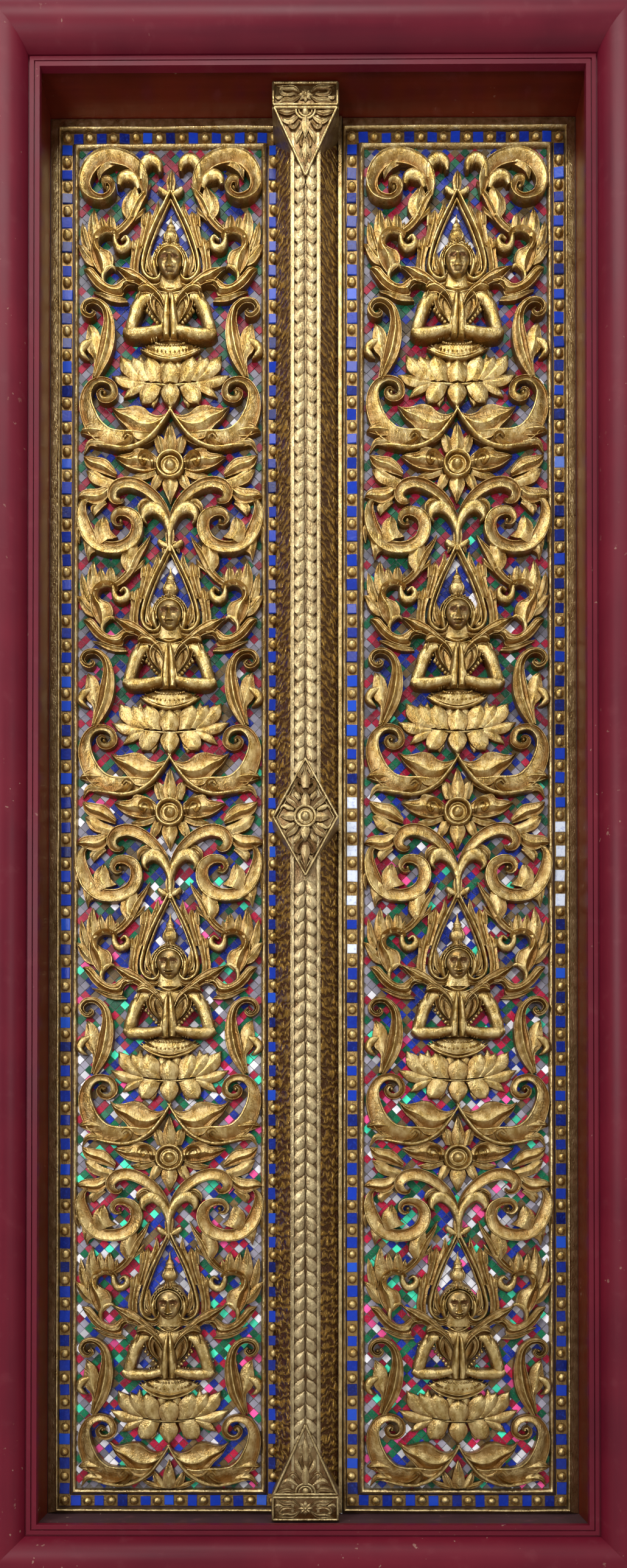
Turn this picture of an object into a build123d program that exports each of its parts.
"""Carved and gilded two-leaf temple door in its moulded timber frame.

The door stands on its sill. X runs along the doorway, Y into the building and Z up.
The origin is under the middle of the frame, halfway through its depth.
The leaves turn inward on wooden pins that are cut on their hanging stiles.
"""
import os
from math import cos, hypot, pi, sin

from build123d import *

# Doorway
OPENING_WIDTH = 950.0
OPENING_HEIGHT = 2520.0
REVEAL_DEPTH = 90.0          # front of the fillets to the face of the leaves

# Frame timbers
JAMB_THICKNESS = 55.0
SILL_HEIGHT = 105.0
CASING_BASE = 12.0           # thickness of the casing's flat back part
CASING_WIDTH = 85.0          # width of the half-round moulding
CASING_CREST = 33.0          # how far the half-round stands past the fillets
CASING_LAP = 4.0             # fillets stand past the jamb faces
FILLET_INNER = 8.0
FILLET_OUTER = 7.0
FILLET_GROOVE = 2.0
FILLET_SINK = 3.0            # depth of the two grooves
FILLET_QUIRK = 3.0           # sunk strip beside the half-round

# Leaves
LEAF_THICKNESS = 36.0
LEAF_OVERLAP = 25.0          # how far a leaf passes behind the frame
LEAF_STOP_GAP = 0.5          # face of a leaf to the back of the frame
LEAF_EDGE_GAP = 2.0          # above and below a leaf
LEFT_LEAF_REACH = 50.0       # meeting edge of the left leaf, past the door's middle
MEETING_GAP = 3.4
STILE_WIDTH = 70.0
BATTEN_HEIGHT = 90.0
BATTEN_THICKNESS = 22.0
BATTEN_SETBACK = 60.0        # batten ends to the stile and to the meeting edge
BATTEN_FROM_END = 260.0

# Pins and the rails that hold them
PIN_RADIUS = 16.0
PIN_LENGTH = 26.0
PIN_CLEARANCE = 0.3
PIVOT_RAIL_DEPTH = 58.0
TOP_RAIL_HEIGHT = 60.0

# Gilded border of a leaf
BORDER_SIDE_GAP = 14.5       # outer bead to the side of the opening
BORDER_TOP_GAP = 20.0        # outer bead to the head
BORDER_BOTTOM_GAP = 4.0      # outer bead to the sill
INNER_BEAD_WIDTH = 9.0
INNER_BEAD_PROUD = 11.0
OUTER_BEAD_WIDTH = 6.0
OUTER_BEAD_PROUD = 9.0
BEAD_TO_PEARLS_X = 17.0      # middle of the inner bead to the pearl row, at the sides
BEAD_TO_OUTER_X = 31.0       # middle of the inner bead to the outer bead's, at the sides
BEAD_TO_PEARLS = 17.0        # the same, above and below
BEAD_TO_OUTER = 34.0
PEARL_RADIUS = 8.6
PEARL_PROUD = 9.0
PEARL_SIDES = 5
PEARLS_ACROSS = 9            # spaces between pearls along the short sides
PEARLS_UP = 56               # spaces between pearls along the long sides
GLASS_WIDTH = 19.0
GLASS_THICKNESS = 3.0
MOSAIC_THICKNESS = 3.0

# Post on the left leaf, with its two caps and its lozenge
POST_CENTRE = -12.5
POST_BASE_WIDTH = 115.0
POST_FACE_WIDTH = 51.0
POST_PROUD = 52.0
POST_END_GAP = 2.5
BAND_PROUD = 5.0
BAND_RIDGE = 4.0
BAND_RIDGE_INSET = 2.5
BAND_RIDGE_PROUD = 3.0
BRAID_PITCH = 23.4
BRAID_LEAF = 18.0            # length of one leaf of the braid
BRAID_HALF_WIDTH = 17.0
BRAID_PROUD = 4.0
CAP_WIDTH = 117.4
CAP_PROUD = 66.0
CAP_BLOCK_HEIGHT = 44.0
CAP_POINT_HEIGHT = 129.0
CAP_RIM = 5.0
CAP_RIM_PROUD = 1.5
LOZENGE_CENTRE = 1225.0
LOZENGE_HALF_HEIGHT = 107.0
BOSS_RADIUS = 19.0
BOSS_PROUD = 9.0
BOSS_SLOPE = 35.0            # degrees

# Carved panels
CARVING_LOW = 14.0
CARVING_MID = 20.0
CARVING_HIGH = 23.0
CARVING_HEAD = 28.0
FIGURES = 4

# Worked out from the sizes above
half_opening = OPENING_WIDTH / 2
leaf_back = LEAF_THICKNESS + BATTEN_THICKNESS
casing_front = REVEAL_DEPTH + CASING_CREST
leaf_y = (casing_front - max(leaf_back, PIVOT_RAIL_DEPTH)) / 2
frame_back = -LEAF_STOP_GAP
fillet_width = FILLET_INNER + FILLET_OUTER + FILLET_GROOVE + FILLET_QUIRK
jamb_front = -(REVEAL_DEPTH - CASING_BASE)
frame_half = half_opening + JAMB_THICKNESS
heel_radius = LEAF_THICKNESS / 2
pivot_x = half_opening + LEAF_OVERLAP - heel_radius
pivot_y = heel_radius
leaf_bottom = -LEAF_OVERLAP
leaf_top = OPENING_HEIGHT + LEAF_OVERLAP
right_leaf_start = LEFT_LEAF_REACH + MEETING_GAP
border_outer = half_opening - BORDER_SIDE_GAP
panel_centre = (right_leaf_start + border_outer) / 2
outer_bead_x = (border_outer - right_leaf_start - OUTER_BEAD_WIDTH) / 2
inner_bead_x = outer_bead_x - BEAD_TO_OUTER_X
pearl_row_x = inner_bead_x + BEAD_TO_PEARLS_X
outer_bead_height = OPENING_HEIGHT - BORDER_TOP_GAP - BORDER_BOTTOM_GAP - OUTER_BEAD_WIDTH
border_middle = BORDER_BOTTOM_GAP + (outer_bead_height + OUTER_BEAD_WIDTH) / 2
inner_bead_height = outer_bead_height - 2 * BEAD_TO_OUTER
pearl_row_height = inner_bead_height + 2 * BEAD_TO_PEARLS
post_side = POST_CENTRE - max(CAP_WIDTH, POST_BASE_WIDTH) / 2
post_bottom = POST_END_GAP
post_top = OPENING_HEIGHT - POST_END_GAP
band_front = POST_PROUD + BAND_PROUD

SIDES = {"left": -1, "right": 1}

os.makedirs("parts", exist_ok=True)


def front(proud=0.0, x=0.0, z=0.0):
    """A plane parallel to the doorway, a given distance in front of the leaves."""
    return Plane(origin=(x, leaf_y - proud, SILL_HEIGHT + z), x_dir=(1, 0, 0), z_dir=(0, -1, 0))


def level(z):
    """A horizontal plane at a height above the sill, with its origin at the face of the leaves."""
    return Plane(origin=(0, leaf_y, SILL_HEIGHT + z), x_dir=(1, 0, 0), z_dir=(0, 0, 1))


def save(builder, name):
    builder.part.label = name
    export_step(builder.part, f"parts/{name}.step")


# Sill, head and jambs
def timber(name, x0, x1, z0, z1, y0, y1):
    with BuildPart() as piece:
        with BuildSketch(level(z0)):
            with Locations(((x0 + x1) / 2, (y0 + y1) / 2)):
                Rectangle(x1 - x0, y1 - y0)
        extrude(amount=z1 - z0)
    save(piece, name)


timber("sill", -frame_half, frame_half, -SILL_HEIGHT, 0, jamb_front, frame_back)
timber("head", -frame_half, frame_half, OPENING_HEIGHT, OPENING_HEIGHT + JAMB_THICKNESS,
       jamb_front, frame_back)
timber("left_jamb", -frame_half, -half_opening, 0, OPENING_HEIGHT, jamb_front, frame_back)
timber("right_jamb", half_opening, frame_half, 0, OPENING_HEIGHT, jamb_front, frame_back)


# Casing: a half-round moulding round the doorway, mitred at the corners
def casing_profile():
    """Section of the casing, across it from its inner edge and forward from its back."""
    Polyline((0, CASING_BASE), (0, 0), (CASING_WIDTH, 0), (CASING_WIDTH, CASING_BASE))
    ThreePointArc((CASING_WIDTH, CASING_BASE), (CASING_WIDTH / 2, CASING_BASE + CASING_CREST),
                  (0, CASING_BASE))


def fillet_profile():
    """Section of the two small fillets inside the casing, with a groove beside each."""
    inner_end = FILLET_INNER
    outer_start = inner_end + FILLET_GROOVE
    outer_end = outer_start + FILLET_OUTER
    low = CASING_BASE - FILLET_SINK
    Polyline((0, 0), (0, CASING_BASE), (inner_end, CASING_BASE), (inner_end, low),
             (outer_start, low), (outer_start, CASING_BASE), (outer_end, CASING_BASE),
             (outer_end, low), (fillet_width, low), (fillet_width, 0), close=True)


def mitred_strip(name, profile, edge, side, width):
    """One side of a picture-frame moulding, cut at 45 degrees at both ends.

    edge is the distance of the strip's inner edge from the opening's own edge.
    """
    inner_x = half_opening + edge
    inner_z = OPENING_HEIGHT / 2 + edge
    middle = OPENING_HEIGHT / 2
    reach = {"left": (-1, 0), "right": (1, 0), "top": (0, 1), "bottom": (0, -1)}[side]
    run = inner_z if reach[0] else inner_x
    start = inner_x if reach[0] else inner_z
    outward = Vector(reach[0], 0, reach[1])
    along = outward.cross(Vector(0, 1, 0))
    origin = Vector(0, leaf_y + jamb_front, SILL_HEIGHT + middle) + outward * start
    section = Plane(origin=origin, x_dir=outward, z_dir=along)
    if section.y_dir.Y > 0:
        section = Plane(origin=origin, x_dir=outward, z_dir=-along)
    with BuildPart() as piece:
        with BuildSketch(section):
            with BuildLine():
                profile()
            make_face()
        extrude(amount=run + width, both=True)
        for end in (-1, 1):
            corner = origin + along * (end * run)
            cut = Plane(origin=corner, z_dir=(outward - along * end).normalized())
            split(bisect_by=cut, keep=Keep.TOP)
    save(piece, name)


for side in ("top", "bottom", "left", "right"):
    mitred_strip(f"casing_{side}", casing_profile, fillet_width - CASING_LAP, side, CASING_WIDTH)
    mitred_strip(f"fillets_{side}", fillet_profile, -CASING_LAP, side, fillet_width)

# Pivot rails behind the head and the sill, with a blind socket over each pin
socket_depth = PIN_LENGTH + PIN_CLEARANCE - LEAF_EDGE_GAP
rail_middle_y = (frame_back + PIVOT_RAIL_DEPTH) / 2
rail_depth = PIVOT_RAIL_DEPTH - frame_back
rail_bottom_top = leaf_bottom - LEAF_EDGE_GAP
rail_top_bottom = leaf_top + LEAF_EDGE_GAP

with BuildPart() as pivot_rail_top:
    with BuildSketch(level(rail_top_bottom)):
        with Locations((0, rail_middle_y)):
            Rectangle(2 * frame_half, rail_depth)
    extrude(amount=TOP_RAIL_HEIGHT)
    with BuildSketch(level(rail_top_bottom)):
        with Locations((-pivot_x, pivot_y), (pivot_x, pivot_y)):
            Circle(PIN_RADIUS + PIN_CLEARANCE)
    extrude(amount=socket_depth, mode=Mode.SUBTRACT)
save(pivot_rail_top, "pivot_rail_top")

with BuildPart() as pivot_rail_bottom:
    with BuildSketch(level(-SILL_HEIGHT)):
        with Locations((0, rail_middle_y)):
            Rectangle(2 * frame_half, rail_depth)
    extrude(amount=rail_bottom_top + SILL_HEIGHT)
    with BuildSketch(level(rail_bottom_top)):
        with Locations((-pivot_x, pivot_y), (pivot_x, pivot_y)):
            Circle(PIN_RADIUS + PIN_CLEARANCE)
    extrude(amount=-socket_depth, mode=Mode.SUBTRACT)
save(pivot_rail_bottom, "pivot_rail_bottom")

# Leaves: a hanging stile with a round heel and two pins, a board, and three battens behind it
meeting_edge = {"left": LEFT_LEAF_REACH, "right": right_leaf_start}
for side, sign in SIDES.items():
    heel_x = sign * pivot_x
    stile_end = sign * (half_opening + LEAF_OVERLAP - STILE_WIDTH)
    with BuildPart() as stile:
        with BuildSketch(level(leaf_bottom)):
            with Locations(((heel_x + stile_end) / 2, heel_radius)):
                Rectangle(abs(heel_x - stile_end), LEAF_THICKNESS)
            with Locations((heel_x, pivot_y)):
                Circle(heel_radius)
        extrude(amount=leaf_top - leaf_bottom)
        with BuildSketch(level(leaf_bottom - PIN_LENGTH)):
            with Locations((heel_x, pivot_y)):
                Circle(PIN_RADIUS)
        extrude(amount=leaf_top - leaf_bottom + 2 * PIN_LENGTH)
    save(stile, f"{side}_hanging_stile")

    board_edge = meeting_edge[side]
    board_x = sorted((stile_end, board_edge))
    timber(f"{side}_board", board_x[0], board_x[1], leaf_bottom, leaf_top, 0, LEAF_THICKNESS)

    batten_x = sorted((stile_end - sign * BATTEN_SETBACK, board_edge + sign * BATTEN_SETBACK))
    batten_places = {"bottom": BATTEN_FROM_END, "middle": OPENING_HEIGHT / 2,
                     "top": OPENING_HEIGHT - BATTEN_FROM_END}
    for place, height in batten_places.items():
        timber(f"{side}_batten_{place}", batten_x[0], batten_x[1], height - BATTEN_HEIGHT / 2,
               height + BATTEN_HEIGHT / 2, LEAF_THICKNESS, leaf_back)


# Border of each leaf: two beads, a channel of glass between them, and its row of pearls.
# On the left leaf all of them stop at the side of the post.
def keep_clear_of_post(side):
    """Cut the open piece at the post's side if it is on the left leaf."""
    if side == "left":
        cut = Plane(origin=(post_side, 0, 0), x_dir=(0, 1, 0), z_dir=(-1, 0, 0))
        split(bisect_by=cut, keep=Keep.TOP)


def ring_sketch(centre, half_width, height, width):
    """A rectangular ring on the leaf's face, given by the middle line of its sides."""
    with BuildSketch(front(0, centre, border_middle)) as ring:
        Rectangle(2 * half_width + width, height + width)
        Rectangle(2 * half_width - width, height - width, mode=Mode.SUBTRACT)
    return ring.sketch


def bead_ring(name, side, centre, half_width, height, width, proud):
    """A moulding round the panel, with bevelled edges."""
    with BuildPart() as ring:
        extrude(ring_sketch(centre, half_width, height, width), amount=proud)
        chamfer(ring.faces().sort_by(Axis.Y)[0].edges(), length=width / 3)
        keep_clear_of_post(side)
    save(ring, name)


def pearl_places(centre):
    """Middles of the pearls, round the border from one corner."""
    step_x = 2 * pearl_row_x / PEARLS_ACROSS
    step_z = pearl_row_height / PEARLS_UP
    low = SILL_HEIGHT + border_middle - pearl_row_height / 2
    places = []
    for i in range(PEARLS_ACROSS + 1):
        for z in (low, low + pearl_row_height):
            places.append((centre - pearl_row_x + i * step_x, 0, z))
    for j in range(1, PEARLS_UP):
        for x in (centre - pearl_row_x, centre + pearl_row_x):
            places.append((x, 0, low + j * step_z))
    return places


with BuildPart() as pearl:
    with BuildSketch(front(GLASS_THICKNESS, 0, -SILL_HEIGHT)):
        RegularPolygon(PEARL_RADIUS, PEARL_SIDES)
    loft(sections=[pearl.pending_faces[0], Vertex(0, leaf_y - GLASS_THICKNESS - PEARL_PROUD, 0)])

for side, sign in SIDES.items():
    centre = sign * panel_centre
    bead_ring(f"{side}_outer_bead", side, centre, outer_bead_x, outer_bead_height, OUTER_BEAD_WIDTH,
              OUTER_BEAD_PROUD)
    bead_ring(f"{side}_inner_bead", side, centre, inner_bead_x, inner_bead_height, INNER_BEAD_WIDTH,
              INNER_BEAD_PROUD)

    with BuildPart() as glass:
        extrude(ring_sketch(centre, pearl_row_x, pearl_row_height, GLASS_WIDTH), amount=GLASS_THICKNESS)
        keep_clear_of_post(side)
    save(glass, f"{side}_border_glass")

    with BuildPart() as pearls:
        with Locations(*pearl_places(centre)):
            add(pearl.part)
        keep_clear_of_post(side)
    save(pearls, f"{side}_pearls")

    with BuildPart() as mosaic:
        with BuildSketch(front(0, centre, border_middle)):
            Rectangle(2 * inner_bead_x - INNER_BEAD_WIDTH, inner_bead_height - INNER_BEAD_WIDTH)
        extrude(amount=MOSAIC_THICKNESS)
    save(mosaic, f"{side}_mosaic")


# Post of the left leaf: slanting flanks, a face band with a braid, and the caps that saddle it
def post_section():
    """Half-hexagon section of the post, with the band's thickness on its face."""
    base = POST_BASE_WIDTH / 2
    face = POST_FACE_WIDTH / 2
    return [(POST_CENTRE - base, 0), (POST_CENTRE - face, -POST_PROUD),
            (POST_CENTRE + face, -POST_PROUD), (POST_CENTRE + base, 0)]


with BuildPart() as post:
    with BuildSketch(level(post_bottom)):
        Polygon(*post_section(), align=None)
    extrude(amount=post_top - post_bottom)
save(post, "post")

with BuildPart() as band_body:
    with BuildSketch(front(POST_PROUD, POST_CENTRE, OPENING_HEIGHT / 2)):
        Rectangle(POST_FACE_WIDTH, post_top - post_bottom)
    extrude(amount=BAND_PROUD)

braid_low = post_bottom + CAP_BLOCK_HEIGHT + CAP_POINT_HEIGHT - BRAID_PITCH
braid_high = post_top - CAP_BLOCK_HEIGHT - CAP_POINT_HEIGHT + BRAID_PITCH
braid_count = int((braid_high - braid_low) // BRAID_PITCH)
braid_start = (braid_low + braid_high - braid_count * BRAID_PITCH) / 2
lozenge_reach = LOZENGE_HALF_HEIGHT - BRAID_PITCH / 2
with BuildPart() as braid_band:
    add(band_body.part)
    ridge_x = POST_FACE_WIDTH / 2 - BAND_RIDGE_INSET - BAND_RIDGE / 2
    with BuildSketch(front(band_front, POST_CENTRE, OPENING_HEIGHT / 2)):
        with Locations((-ridge_x, 0), (ridge_x, 0)):
            Rectangle(BAND_RIDGE, post_top - post_bottom)
    extrude(amount=BAND_RIDGE_PROUD)
    with BuildSketch(front(band_front, POST_CENTRE)):
        for k in range(braid_count):
            foot = braid_start + k * BRAID_PITCH
            if abs(foot + BRAID_PITCH / 2 - LOZENGE_CENTRE) > lozenge_reach:
                Polygon((0, foot), (BRAID_HALF_WIDTH, foot + BRAID_LEAF),
                        (-BRAID_HALF_WIDTH, foot + BRAID_LEAF), align=None)
    extrude(amount=BRAID_PROUD)


def saddle(name, outline, boss=False):
    """A carved block that stands on the leaf and fits over the post."""
    with BuildPart() as block:
        with BuildSketch(front(0, POST_CENTRE)):
            Polygon(*outline, align=None)
        extrude(amount=CAP_PROUD - CAP_RIM_PROUD)
        with BuildSketch(front(CAP_PROUD - CAP_RIM_PROUD, POST_CENTRE)) as rim:
            Polygon(*outline, align=None)
            offset(amount=-CAP_RIM, mode=Mode.SUBTRACT, kind=Kind.INTERSECTION)
        extrude(amount=CAP_RIM_PROUD)
        if boss:
            with BuildSketch(front(CAP_PROUD - CAP_RIM_PROUD, POST_CENTRE, LOZENGE_CENTRE)):
                Circle(BOSS_RADIUS)
            extrude(amount=BOSS_PROUD, taper=BOSS_SLOPE)
        add(post.part, mode=Mode.SUBTRACT)
        add(braid_band.part, mode=Mode.SUBTRACT)
    save(block, name)


half_cap = CAP_WIDTH / 2
top_line = post_top - CAP_BLOCK_HEIGHT
bottom_line = post_bottom + CAP_BLOCK_HEIGHT
saddle("post_cap_top", [(-half_cap, post_top), (-half_cap, top_line),
                        (0, top_line - CAP_POINT_HEIGHT), (half_cap, top_line), (half_cap, post_top)])
saddle("post_cap_bottom", [(-half_cap, post_bottom), (half_cap, post_bottom), (half_cap, bottom_line),
                           (0, bottom_line + CAP_POINT_HEIGHT), (-half_cap, bottom_line)])
saddle("post_lozenge", [(0, LOZENGE_CENTRE - LOZENGE_HALF_HEIGHT), (half_cap, LOZENGE_CENTRE),
                        (0, LOZENGE_CENTRE + LOZENGE_HALF_HEIGHT), (-half_cap, LOZENGE_CENTRE)], boss=True)
save(braid_band, "braid_band")


# Carved panels. Places are from the tip of the lotus, across and up, as drawn for a field
# of 331 by 2413 mm inside the inner bead, and they stretch with it.
field_height = inner_bead_height - INNER_BEAD_WIDTH
carving_across = (2 * inner_bead_x - INNER_BEAD_WIDTH) / 331
carving_up = field_height / 2413
field_top = border_middle + field_height / 2
first_lotus = field_top - 479.5 * carving_up
figure_pitch = 618 * carving_up


def stem(*stations):
    """Outline of a tapering stem through stations of (x, z, width)."""
    left, right = [], []
    last = len(stations) - 1
    for i, (x, z, width) in enumerate(stations):
        before = stations[max(i - 1, 0)]
        after = stations[min(i + 1, last)]
        dx, dz = after[0] - before[0], after[1] - before[1]
        length = hypot(dx, dz)
        nx, nz = -dz / length * width / 2, dx / length * width / 2
        left.append((x + nx, z + nz))
        right.append((x - nx, z - nz))
    return left + right[::-1]


def petal(foot, tip, half_width, belly=0.45):
    """Outline of a pointed petal: a kite with its widest place part way to the tip."""
    (fx, fz), (tx, tz) = foot, tip
    length = hypot(tx - fx, tz - fz)
    nx, nz = -(tz - fz) / length * half_width, (tx - fx) / length * half_width
    mx, mz = fx + (tx - fx) * belly, fz + (tz - fz) * belly
    return [foot, (mx + nx, mz + nz), tip, (mx - nx, mz - nz)]


def oval(cx, cz, rx, rz, corners=8):
    """A faceted oval."""
    turn = 2 * pi / corners
    return [(cx + rx * cos((k + 0.5) * turn), cz + rz * sin((k + 0.5) * turn)) for k in range(corners)]


def carve(shapes, proud, paired=True):
    """Cut a layer of the carving from outlines, with their mirror images where paired."""
    outlines = list(shapes)
    if paired:
        outlines += [[(-x, z) for x, z in shape] for shape in shapes]
    with BuildSketch(front(MOSAIC_THICKNESS, 0, -SILL_HEIGHT)) as cut:
        for outline in outlines:
            Polygon(*[(x * carving_across, z * carving_up) for x, z in outline], align=None)
    extrude(cut.sketch, amount=proud)


with BuildPart() as figure_panel:
    # acanthus blade below the lotus with the stem and volute that rise from its end,
    # the tall leaf and its volute, and the wings, flames and leaf beside the arch
    carve([[(0, 5), (26, -9), (104, 10), (73, -28), (112, -34), (130, 0),
            (160, 0), (162, -42), (150, -68), (98, -68), (38, -56)],
           stem((146, -6, 28), (153, 36, 16), (120, 50, 13), (112, 26, 10)),
           stem((134, 62, 12), (112, 110, 26), (120, 178, 18), (150, 192, 12), (140, 170, 8)),
           [(132, 66), (161, 98), (158, 140), (118, 140)],
           [(40, 222), (62, 246), (106, 262), (94, 238), (126, 236), (152, 256), (146, 226), (100, 204)],
           [(74, 312), (94, 294), (112, 306), (112, 268), (142, 266), (160, 304), (154, 344),
            (128, 326), (106, 350)],
           [(100, 314), (62, 340), (34, 392), (80, 366), (100, 330)]],
          CARVING_LOW)
    # lotus, seat, arms, chest, hair and the pointed arch
    carve([petal((16, 70), (57, 22), 20), petal((38, 74), (96, 56), 20),
           petal((30, 56), (62, 112), 18),
           [(10, 130), (78, 128), (87, 146), (84, 188), (66, 207), (40, 205), (52, 164), (10, 162)],
           stem((0, 380, 9), (24, 342, 10), (50, 282, 12), (44, 244, 10), (22, 244, 8)),
           [(9, 368), (38, 362), (62, 318), (60, 280)]],
          CARVING_MID)
    carve([[(-50, 117), (-34, 101), (34, 101), (50, 117), (32, 134), (-32, 134)],
           [(-42, 206), (-14, 160), (14, 160), (42, 206), (0, 236)],
           oval(0, 276, 34, 31, 6), [(-16, 290), (16, 290), (0, 354)]],
          CARVING_MID, paired=False)
    # front petals, joined hands and head
    carve([petal((0, 60), (0, 7), 19), petal((0, 48), (0, 98), 19),
           [(-12, 132), (13, 132), (13, 180), (1, 216), (-12, 180)], oval(0, 262, 23, 32)],
          CARVING_HEAD, paired=False)

with BuildPart() as flower_panel:
    # rosette between two figures, forked stem with its arcs and buds, and the large volutes
    carve([petal((20, -96), (97, -84), 17),
           [(104, -116), (116, -88), (154, -84), (152, -104), (132, -136)],
           stem((6, -186, 16), (46, -140, 18), (100, -138, 16), (86, -164, 9)),
           stem((2, -226, 9), (18, -186, 16), (44, -182, 16)),
           stem((98, -206, 9), (86, -184, 10), (62, -204, 15), (84, -234, 15), (146, -232, 14)),
           [(122, -196), (114, -226), (150, -250), (160, -220), (156, -178), (138, -200)]],
          CARVING_LOW)
    carve([petal((0, -70), (0, -26), 17), petal((0, -110), (0, -162), 25, 0.3),
           stem((0, -231, 14), (0, -178, 14))], CARVING_LOW, paired=False)
    carve([oval(0, -98, 27, 27)], CARVING_HIGH, paired=False)

with BuildPart() as crown_panel:
    # the two great volutes and the buds in the top corners
    carve([stem((50, 398, 12), (62, 436, 18), (94, 458, 20), (136, 448, 19), (150, 412, 16), (124, 388, 13),
                (106, 406, 9), (122, 414, 8)),
           petal((76, 438), (84, 406), 12, 0.5),
           [(14, 464), (14, 432), (44, 430), (50, 448), (38, 466)]],
          CARVING_LOW)
    carve([[(-9, 392), (9, 392), (12, 412), (0, 434), (-12, 412)]], CARVING_LOW, paired=False)


def set_panel(name, master, sign, drop):
    """Place a copy of a carved panel on a leaf, its lotus tip a given way below the first."""
    with BuildPart() as panel:
        with Locations((sign * panel_centre, 0, SILL_HEIGHT + first_lotus - drop)):
            add(master.part)
    save(panel, name)


for side, sign in SIDES.items():
    set_panel(f"{side}_crown_carving", crown_panel, sign, 0)
    for k in range(FIGURES):
        set_panel(f"{side}_figure_carving_{k + 1}", figure_panel, sign, k * figure_pitch)
        if k < FIGURES - 1:
            set_panel(f"{side}_flower_carving_{k + 1}", flower_panel, sign, k * figure_pitch)
